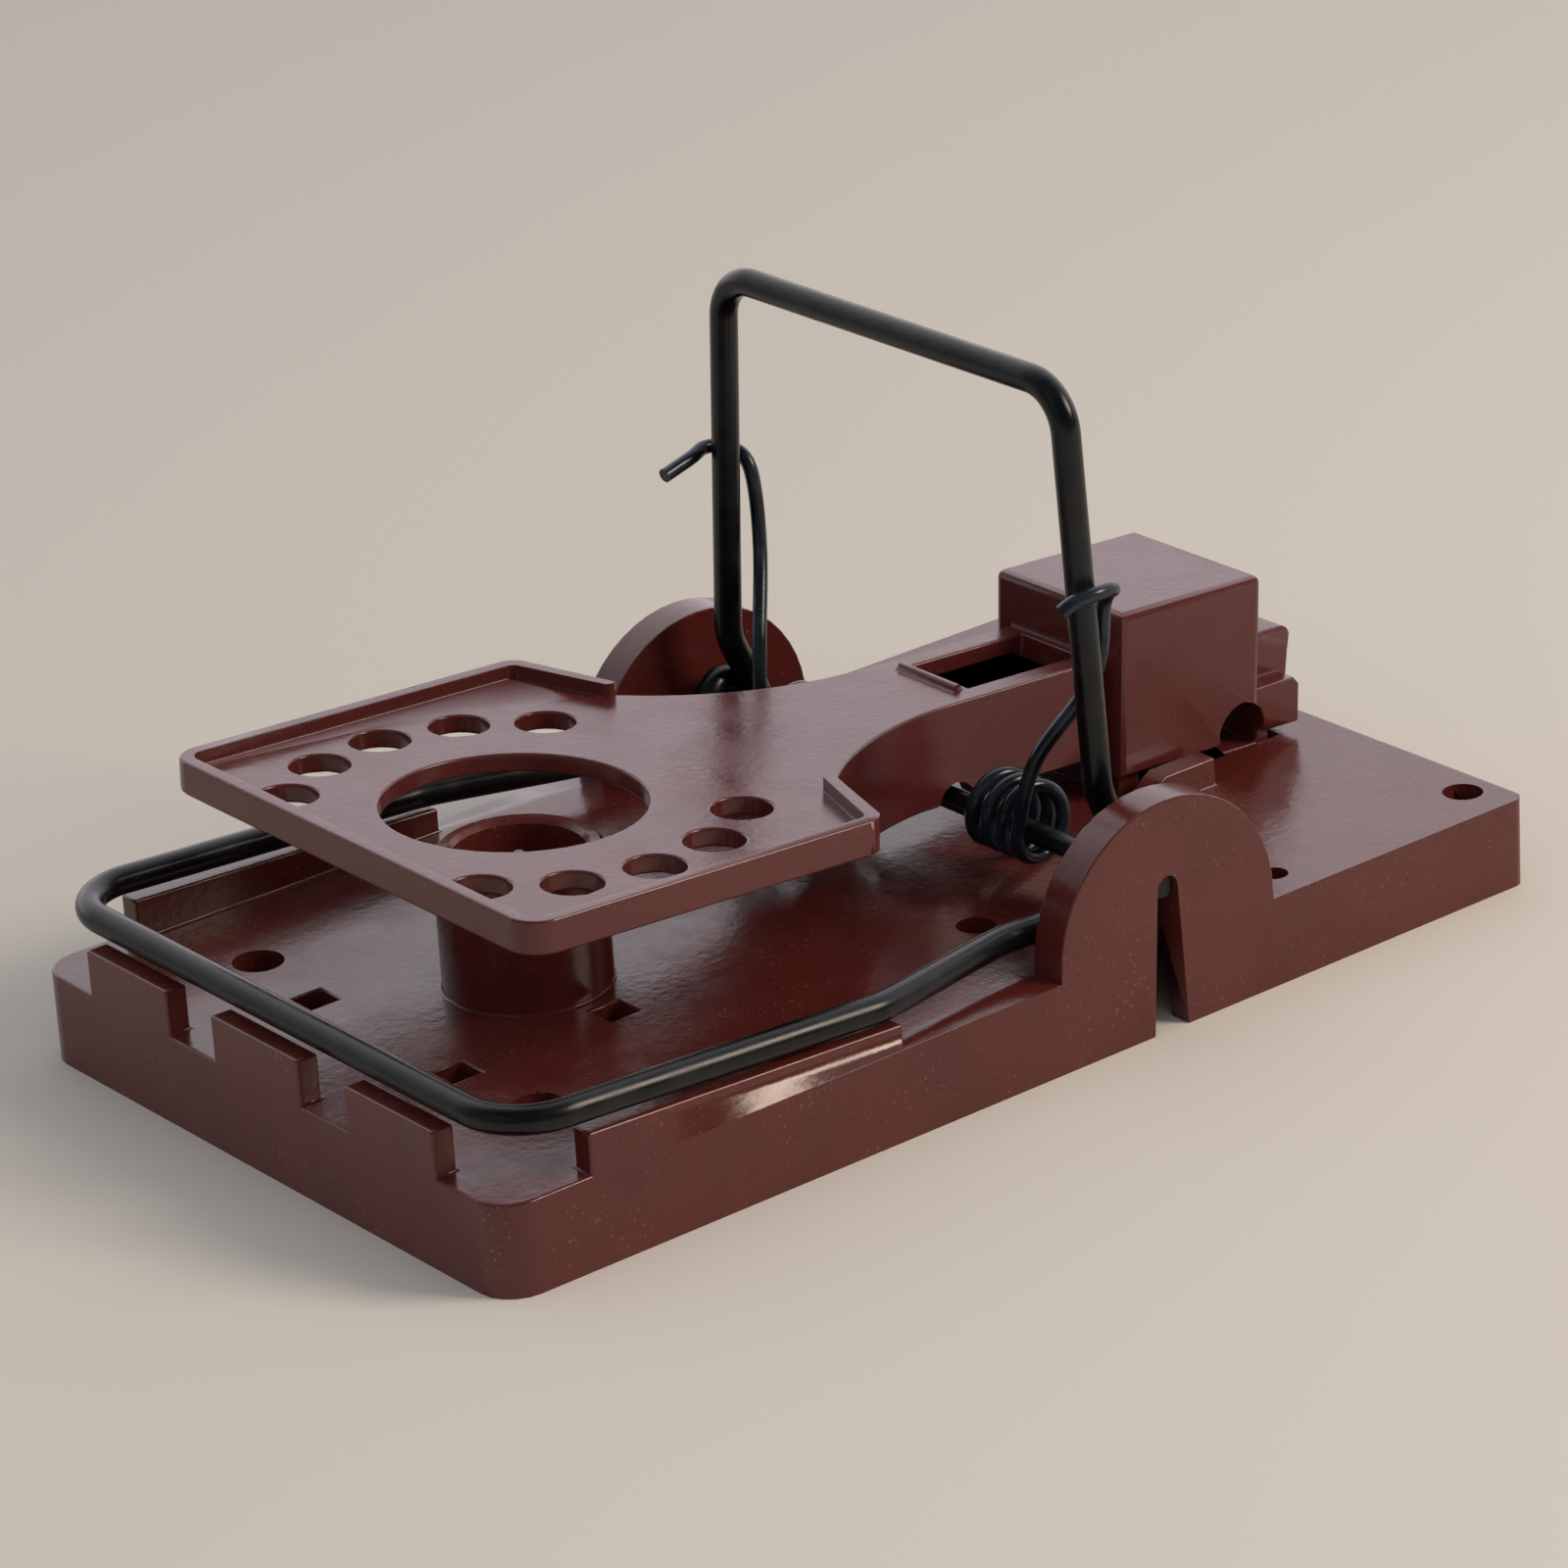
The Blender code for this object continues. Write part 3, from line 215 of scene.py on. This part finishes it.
# %% [markdown]
# ## The mouldings
#
# A sharp computer edge gives a moulding away at once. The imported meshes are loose
# triangles, so each moulding is copied, its points are merged and its flat faces
# joined again, and a small round is run along its longer sharp edges. The cheeks are
# left out because their rims are rounded already, and so is the foot, where a round
# would reach below the floor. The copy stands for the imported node, which stays as
# the body's collision shape.

# %% Mouldings with rounded edges
WELD_DISTANCE = 0.01 * MM
FLAT_ANGLE = math.radians(0.6)       # faces this close to one plane are joined
CREASE_ANGLE = math.radians(20)      # sharper edges are shaded as creases
ROUNDED_ANGLE = math.radians(50)     # sharper edges get the round
EDGE_RADIUS = 0.22 * MM
SHORTEST_EDGE_IN_RADII = 3.0
FOOT_HEIGHT = 0.4 * MM
CHEEK_MIDDLE_X = 12.3 * MM
CHEEK_REACH_X = 11.2 * MM
CHEEK_INNER_Y = 25.4 * MM
CHEEK_FOOT_Z = 6.3 * MM


def merged_copy(node, name):
    """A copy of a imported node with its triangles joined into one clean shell."""
    mesh = frame["nodes"][node].data.copy()
    mesh.name = name
    bm = bmesh.new()
    bm.from_mesh(mesh)
    bmesh.ops.remove_doubles(bm, verts=bm.verts[:], dist=WELD_DISTANCE)
    bmesh.ops.dissolve_limit(bm, angle_limit=FLAT_ANGLE, verts=bm.verts[:], edges=bm.edges[:],
                             delimit={"NORMAL"})
    bm.to_mesh(mesh)
    bm.free()
    copy = bpy.data.objects.new(name, mesh)
    bpy.context.scene.collection.objects.link(copy)
    return copy


def stand_for(piece, node, material):
    """Give a visible piece its material and let it ride on, and replace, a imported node."""
    piece.data.materials.clear()
    piece.data.materials.append(material)
    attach(piece, frame["nodes"][node]["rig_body"])
    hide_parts(node)
    return piece


def on_cheek(point):
    """True on the two cheeks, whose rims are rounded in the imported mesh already."""
    return (abs(point.y) > CHEEK_INNER_Y and abs(point.x - CHEEK_MIDDLE_X) < CHEEK_REACH_X
            and point.z > CHEEK_FOOT_Z)


def weigh_edges(mesh, least_length):
    """Mark the sharp edges that are long enough to carry a round, and count them."""
    bm = bmesh.new()
    bm.from_mesh(mesh)
    weight = bm.edges.layers.float.new("bevel_weight_edge")
    marked = 0
    for edge in bm.edges:
        ends = [vert.co for vert in edge.verts]
        sharp = len(edge.link_faces) == 2 and edge.calc_face_angle() > ROUNDED_ANGLE
        raised = min(end.z for end in ends) > FOOT_HEIGHT
        if sharp and raised and edge.calc_length() > least_length and not any(map(on_cheek, ends)):
            edge[weight] = 1.0
            marked += 1
        elif len(edge.link_faces) != 2 or edge.calc_face_angle() > CREASE_ANGLE:
            edge.smooth = False
    bm.to_mesh(mesh)
    bm.free()
    return marked


def moulding(node, name, material):
    """A copy of a moulded node with rounded edges, smooth between them."""
    piece = merged_copy(node, name)
    piece.data.shade_smooth()
    marked = weigh_edges(piece.data, SHORTEST_EDGE_IN_RADII * EDGE_RADIUS)
    print(name, "edges to round:", marked, "of", len(piece.data.edges))
    bevel = piece.modifiers.new("edge_round", "BEVEL")
    bevel.width = EDGE_RADIUS
    bevel.segments = 3
    bevel.limit_method = "WEIGHT"
    bevel.use_clamp_overlap = False
    piece.modifiers.new("flat_faces_stay_flat", "WEIGHTED_NORMAL").keep_sharp = True
    return stand_for(piece, node, material)


base = moulding("base", "base_moulding", base_plastic)
treadle = moulding("treadle", "treadle_moulding", treadle_plastic)
print("mouldings:", [(o.name, len(o.data.polygons)) for o in (base, treadle)])

# %% [markdown]
# ## Paths of the wires
#
# A bent wire is a path and a diameter. The paths below are the bender's own: straight
# runs, bends, and turns round the axle. All lengths are in millimetres from the
# axle's centre, which is also the striker's hinge. The right half of the striker is
# written once and mirrored, and each spring is the mirror image of the other, but
# for the length of its hooked tip.

# %% Paths of the wires
AXLE_CENTRE = Vector((12.3, 0.0, 11.5))
AXLE_HALF_LENGTH = 28.5
STRIKER_WIRE = 2.2
SPRING_WIRE = 1.15
AXLE_WIRE = 1.8
WIRE_GAP = 0.2             # clearance between wires, and from a spring's foot to the deck
DECK_Z = 7.25              # above the floor
TURN_STEP_DEG = 7.5
BOW_X = -0.2
BOW_FOOT_Z, BOW_TOP_Z, BOW_RISE = 7.0, 36.7, 29.7
BOW_FOOT_HALF_WIDTH, BOW_TAPER = 21.775, 2.175


def hermite(start, leave, end, arrive, count):
    """A bend that leaves and arrives in given directions."""
    path = []
    for step in range(count + 1):
        t = step / count
        path.append((2 * t**3 - 3 * t**2 + 1) * start + (t**3 - 2 * t**2 + t) * leave
                    + (3 * t**2 - 2 * t**3) * end + (t**3 - t**2) * arrive)
    return path


def through(points, count):
    """A smooth curve through all the points."""
    ends = [2 * points[0] - points[1]] + points + [2 * points[-1] - points[-2]]
    path = []
    for a, b, c, d in zip(ends, ends[1:], ends[2:], ends[3:]):
        path += hermite(b, (c - a) / 2, c, (d - b) / 2, count)[:-1]
    return path + [points[-1]]


def turns(radius, start_deg, sweep_deg, y_start, y_end, lift=0.0):
    """Turns round the axle. The angle runs from straight down towards the rear."""
    count = max(2, round(abs(sweep_deg) / TURN_STEP_DEG))
    path = []
    for step in range(count + 1):
        angle = math.radians(start_deg + sweep_deg * step / count)
        y = y_start + (y_end - y_start) * step / count
        path.append(Vector((radius * math.sin(angle), y, lift - radius * math.cos(angle))))
    return path


def bow_y(height):
    """Half width of the bow at a height: its legs lean inwards."""
    return BOW_FOOT_HALF_WIDTH - BOW_TAPER * (height - BOW_FOOT_Z) / BOW_RISE


def striker_half():
    """Right half: front corner, arm, eye round the axle, leg of the bow, top corner."""
    front_x, bar_z, arm_y, front_bend = -59.45, 0.65, -27.9, 5.0
    quarter_turn = [math.radians(TURN_STEP_DEG * i) for i in range(13)]
    path = [Vector((front_x + front_bend - front_bend * math.cos(a),
                    arm_y + front_bend - front_bend * math.sin(a), bar_z)) for a in quarter_turn]

    # The arm slopes down from its jog towards the eye and moves inwards on the way.
    eye_radius, eye_out, eye_in, eye_turn_deg = 2.1, -24.5, -21.375, 450.0
    jog_x, jog_z, jog_end_x = -27.3, -1.0, -11.85
    fall = (jog_z + eye_radius) / -25.6
    run = Vector((6.0, 0.0, 6.0 * fall))
    path += hermite(Vector((jog_x, arm_y, jog_z - 1.7 * fall)), run,
                    Vector((jog_end_x, eye_out, -eye_radius + jog_end_x * fall)), run, 16)
    path += turns(eye_radius, 0.0, eye_turn_deg, eye_out, eye_in)

    rise = Vector((0.0, 0.0, BOW_FOOT_Z))
    path += hermite(path[-1], rise, Vector((BOW_X, -bow_y(BOW_FOOT_Z), BOW_FOOT_Z)), rise, 12)[1:]

    # The top corner. A round of this pull stays close to a quarter circle.
    bend_z, top_bend, pull = 33.3, 3.4, 1.66
    lean = Vector((0.0, bow_y(bend_z) - bow_y(BOW_TOP_Z), top_bend))
    path += hermite(Vector((BOW_X, -bow_y(bend_z), bend_z)), pull * lean,
                    Vector((BOW_X, top_bend - bow_y(BOW_TOP_Z), BOW_TOP_Z)),
                    Vector((0.0, pull * top_bend, 0.0)), 12)
    return path


def spring_half(tip):
    """Right spring: hook over the bow's leg, leg, coil, and foot on the deck."""
    grip = STRIKER_WIRE / 2 + SPRING_WIRE / 2 + WIRE_GAP
    mean, turn_count, pitch, foot_deg, outer_y = 2.7, 3, 1.7, 19.0, -15.275

    def beside(forward, outward, height):
        """A point beside the bow's leg. Offsets are in units of the two wires' spacing."""
        return Vector((forward * grip + BOW_X, outward * grip - bow_y(height), height))

    lift = mean - SPRING_WIRE / 2 - AXLE_WIRE / 2 - WIRE_GAP
    coil_start = Vector((-mean, outer_y, lift))
    path = through([beside(-1.0 - tip / grip, -0.75, 20.9), beside(-1.1, -0.95, 21.5),
                    beside(-0.1, -1.2, 21.8), beside(0.95, -0.85, 21.4),
                    beside(1.25, 0.1, 19.7), beside(1.05, 0.9, 13.6),
                    coil_start + Vector((1.3, -1.1, 6.0)), coil_start], 8)
    sweep = 360.0 * turn_count + 90.0 - foot_deg
    coil = turns(mean, -90.0, sweep, coil_start.y, coil_start.y + pitch * sweep / 360.0, lift)
    path += coil[1:]
    drop = path[-1].z - (DECK_Z + WIRE_GAP + SPRING_WIRE / 2 - AXLE_CENTRE.z)
    path.append(path[-1] + Vector((drop / math.tan(math.radians(foot_deg)), 0.0, -drop)))
    return path


def mirrored(path):
    """The same path on the left side."""
    return [Vector((p.x, -p.y, p.z)) for p in path]


striker_path = striker_half() + mirrored(reversed(striker_half()))
RIGHT_TIP, LEFT_TIP = 1.3, 3.1
right_path, left_path = spring_half(RIGHT_TIP), mirrored(spring_half(LEFT_TIP))
print("points:", len(striker_path), len(right_path), len(left_path))

# %% [markdown]
# ## Sweeping a wire along its path
#
# One Geometry Nodes tree does for every wire. It spaces the points of a path evenly,
# sweeps a circle along it and closes the cut ends. The wire's diameter, the number
# of sides and the spacing are the tree's named inputs.

# %% Wire sweeping tree
def wire_tree():
    """Path in, swept wire out."""
    tree = bpy.data.node_groups.new("swept_wire", "GeometryNodeTree")
    tree.interface.new_socket("Geometry", in_out="INPUT", socket_type="NodeSocketGeometry")
    for name, default in (("Wire Diameter", 2.0 * MM), ("Point Spacing", 0.4 * MM)):
        length = tree.interface.new_socket(name, in_out="INPUT", socket_type="NodeSocketFloat")
        length.default_value = default
    tree.interface.new_socket("Sides", in_out="INPUT", socket_type="NodeSocketInt").default_value = 24
    tree.interface.new_socket("Material", in_out="INPUT", socket_type="NodeSocketMaterial")
    tree.interface.new_socket("Geometry", in_out="OUTPUT", socket_type="NodeSocketGeometry")
    given = add_node(tree, "NodeGroupInput").outputs
    path = add_node(tree, "GeometryNodeResampleCurve", {"mode": "LENGTH"},
                    {"Curve": given["Geometry"], "Length": given["Point Spacing"]})
    radius = add_node(tree, "ShaderNodeMath", {"operation": "MULTIPLY"}, {0: given["Wire Diameter"]})
    radius.inputs[1].default_value = 0.5
    circle = add_node(tree, "GeometryNodeCurvePrimitiveCircle", {"mode": "RADIUS"},
                      {"Resolution": given["Sides"], "Radius": radius.outputs[0]})
    swept = add_node(tree, "GeometryNodeCurveToMesh", Fill_Caps=True,
                     links={"Curve": path.outputs["Curve"], "Profile Curve": circle.outputs["Curve"]})
    real = add_node(tree, "GeometryNodeRealizeInstances", links={"Geometry": swept.outputs["Mesh"]})
    painted = add_node(tree, "GeometryNodeSetMaterial",
                       links={"Geometry": real.outputs["Geometry"], "Material": given["Material"]})
    add_node(tree, "NodeGroupOutput", links={"Geometry": painted.outputs["Geometry"]})
    return tree


sweep_tree = wire_tree()
print("inputs:", [item.name for item in sweep_tree.interface.items_tree if item.in_out == "INPUT"])

# %% Wires
SPACING_IN_RADII = 0.35
CUT_END_ANGLE = math.radians(60)
THICK_SIDES, THIN_SIDES = 24, 18


def swept_wire(node, name, path, closed, diameter, sides, material):
    """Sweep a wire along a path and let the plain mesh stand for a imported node."""
    curve = bpy.data.curves.new(name + "_path", "CURVE")
    curve.dimensions = "3D"
    spline = curve.splines.new("POLY")
    spline.points.add(len(path) - 1)
    for target, point in zip(spline.points, path):
        target.co = (*((AXLE_CENTRE + point) * MM), 1.0)
    spline.use_cyclic_u = closed
    guide = bpy.data.objects.new(name + "_path", curve)
    bpy.context.scene.collection.objects.link(guide)
    modifier = guide.modifiers.new("sweep", "NODES")
    modifier.node_group = sweep_tree
    values = {"Wire Diameter": diameter * MM, "Point Spacing": SPACING_IN_RADII * diameter * MM / 2,
              "Sides": sides, "Material": material}
    for item in sweep_tree.interface.items_tree:
        if item.in_out == "INPUT" and item.name in values:
            modifier[item.identifier] = values[item.name]
    evaluated = guide.evaluated_get(bpy.context.evaluated_depsgraph_get())
    mesh = bpy.data.meshes.new_from_object(evaluated)
    mesh.name = name
    bpy.data.objects.remove(guide, do_unlink=True)
    mesh.shade_smooth()
    mesh.set_sharp_from_angle(angle=CUT_END_ANGLE)
    piece = bpy.data.objects.new(name, mesh)
    bpy.context.scene.collection.objects.link(piece)
    return stand_for(piece, node, material)


axle_path = [Vector((0, -AXLE_HALF_LENGTH, 0)), Vector((0, AXLE_HALF_LENGTH, 0))]
wires = [
    swept_wire("striker_bow", "striker_bow_wire", striker_path, True, STRIKER_WIRE, THICK_SIDES,
               striker_black),
    swept_wire("axle", "axle_rod", axle_path, False, AXLE_WIRE, THICK_SIDES,
               axle_black),
    swept_wire("spring_right", "spring_right_wire", right_path, False, SPRING_WIRE, THIN_SIDES,
               spring_black),
    swept_wire("spring_left", "spring_left_wire", left_path, False, SPRING_WIRE, THIN_SIDES,
               spring_black),
]
print("wires:", [(o.name, len(o.data.polygons)) for o in wires])

# %% [markdown]
# ## Floor and sky
#
# A pale floor and a soft, plain sky. The gloss on the deck and on the pedal comes
# from what they mirror at a low angle, so mirrored rays see a bright haze low over
# the far side of the trap and a dimmer sky behind the camera.

# %% Floor and sky
FAR_SIDE_YAW = math.radians(52.0)
FAR_SIDE = (math.cos(FAR_SIDE_YAW), math.sin(FAR_SIDE_YAW), 0.0)


def pale_floor(half_size, hex_colour):
    """A large matt floor for the trap to stand on."""
    mesh = bpy.data.meshes.new("floor")
    corners = [(-half_size, -half_size, 0), (half_size, -half_size, 0),
               (half_size, half_size, 0), (-half_size, half_size, 0)]
    mesh.from_pydata(corners, [], [(0, 1, 2, 3)])
    material = bpy.data.materials.new("pale_floor")
    material.use_nodes = True
    shader = material.node_tree.nodes["Principled BSDF"]
    shader.inputs["Base Color"].default_value = linear(hex_colour)
    shader.inputs["Roughness"].default_value = 0.9
    shader.inputs["Specular IOR Level"].default_value = 0.1
    mesh.materials.append(material)
    floor = bpy.data.objects.new("floor", mesh)
    bpy.context.scene.collection.objects.link(floor)


def set_world(plain_strength, haze_strength, dim_strength):
    """Even light for the surfaces, and a shaped sky for what they mirror."""
    world = bpy.data.worlds.new("hazy_sky")
    world.use_nodes = True
    bpy.context.scene.world = world
    tree = world.node_tree
    plain = tree.nodes["Background"]
    plain.inputs["Color"].default_value = linear("#E6E4E4")
    plain.inputs["Strength"].default_value = plain_strength
    direction = add_node(tree, "ShaderNodeTexCoord").outputs["Generated"]
    ahead = add_node(tree, "ShaderNodeVectorMath", {"operation": "DOT_PRODUCT"}, {0: direction})
    ahead.inputs[1].default_value = FAR_SIDE
    haze = add_node(tree, "ShaderNodeMapRange", {"interpolation_type": "SMOOTHSTEP"},
                    {"Value": ahead.outputs["Value"]}, From_Min=-0.1, From_Max=0.65,
                    To_Min=dim_strength, To_Max=haze_strength)
    tint = add_node(tree, "ShaderNodeValToRGB", links={"Fac": ahead.outputs["Value"]})
    ramp_stops(tint, [(0.0, linear("#C9D2DC")), (0.7, linear("#E2DCE2"))])
    mirrored_sky = add_node(tree, "ShaderNodeBackground",
                            links={"Color": tint.outputs["Color"], "Strength": haze.outputs["Result"]})
    ray = add_node(tree, "ShaderNodeLightPath").outputs["Is Glossy Ray"]
    both = add_node(tree, "ShaderNodeMixShader", links={
        0: ray, 1: plain.outputs["Background"], 2: mirrored_sky.outputs["Background"]})
    tree.links.new(both.outputs["Shader"], tree.nodes["World Output"].inputs["Surface"])


pale_floor(6.0, "#EDEAE4")
set_world(plain_strength=0.50, haze_strength=1.9, dim_strength=0.14)
print("world:", bpy.context.scene.world.name)

# %% [markdown]
# ## Lamps
#
# A wide warm key from the right draws the near side out of the maroon and throws a
# soft shadow to the left. A very weak cool fill reaches the front face.

# %% Lamps
LAMP_TARGET = (0, 0, 0.01)


def area_lamp(name, place, size, watts, hex_colour):
    """A square lamp aimed at the middle of the trap."""
    light = bpy.data.lights.new(name, "AREA")
    light.shape = "RECTANGLE"
    light.size = size
    light.size_y = size
    light.energy = watts
    light.color = linear(hex_colour)[:3]
    lamp = bpy.data.objects.new(name, light)
    lamp.location = place
    aim = Vector(LAMP_TARGET) - Vector(place)
    lamp.rotation_euler = aim.to_track_quat("-Z", "Y").to_euler()
    bpy.context.scene.collection.objects.link(lamp)


area_lamp("warm_key", (0.42, -0.50, 0.46), size=0.28, watts=3.4, hex_colour="#FFEBD6")
area_lamp("front_fill", (-0.7, -0.1, 0.35), size=0.5, watts=0.15, hex_colour="#EEF2FF")

# %% [markdown]
# ## Camera
#
# A long lens looks down at the trap from its front right.

# %% Camera
SENSOR_WIDTH = 36.0                  # mm
FOCAL_IN_WIDTHS = 6379.7 / 1600      # focal length in picture widths


def set_camera(place, yaw, pitch, roll, shift):
    """A long lens at a place, turned by yaw, tilted down by pitch and rolled."""
    forward = Vector((math.cos(pitch) * math.cos(yaw), math.cos(pitch) * math.sin(yaw),
                      -math.sin(pitch)))
    right = Vector((math.sin(yaw), -math.cos(yaw), 0))
    up = right.cross(forward)
    turned_right = math.cos(roll) * right + math.sin(roll) * up
    turned_up = -math.sin(roll) * right + math.cos(roll) * up
    data = bpy.data.cameras.new("camera")
    data.sensor_width = SENSOR_WIDTH
    data.lens = SENSOR_WIDTH * FOCAL_IN_WIDTHS
    data.shift_x = shift[0]
    data.shift_y = shift[1]
    data.clip_start = 0.01
    data.clip_end = 50.0
    camera = bpy.data.objects.new("camera", data)
    camera.matrix_world = Matrix((
        (turned_right.x, turned_up.x, -forward.x, place[0]),
        (turned_right.y, turned_up.y, -forward.y, place[1]),
        (turned_right.z, turned_up.z, -forward.z, place[2]),
        (0, 0, 0, 1)))
    bpy.context.scene.collection.objects.link(camera)
    bpy.context.scene.camera = camera
    return camera


camera = set_camera((-0.2667, -0.3428, 0.1995), yaw=math.radians(52.25), pitch=math.radians(23.10),
                    roll=math.radians(-3.48), shift=(0.00675, 0.00744))
bpy.context.scene.view_settings.view_transform = "Standard"
print("lens:", round(camera.data.lens, 1), "mm")
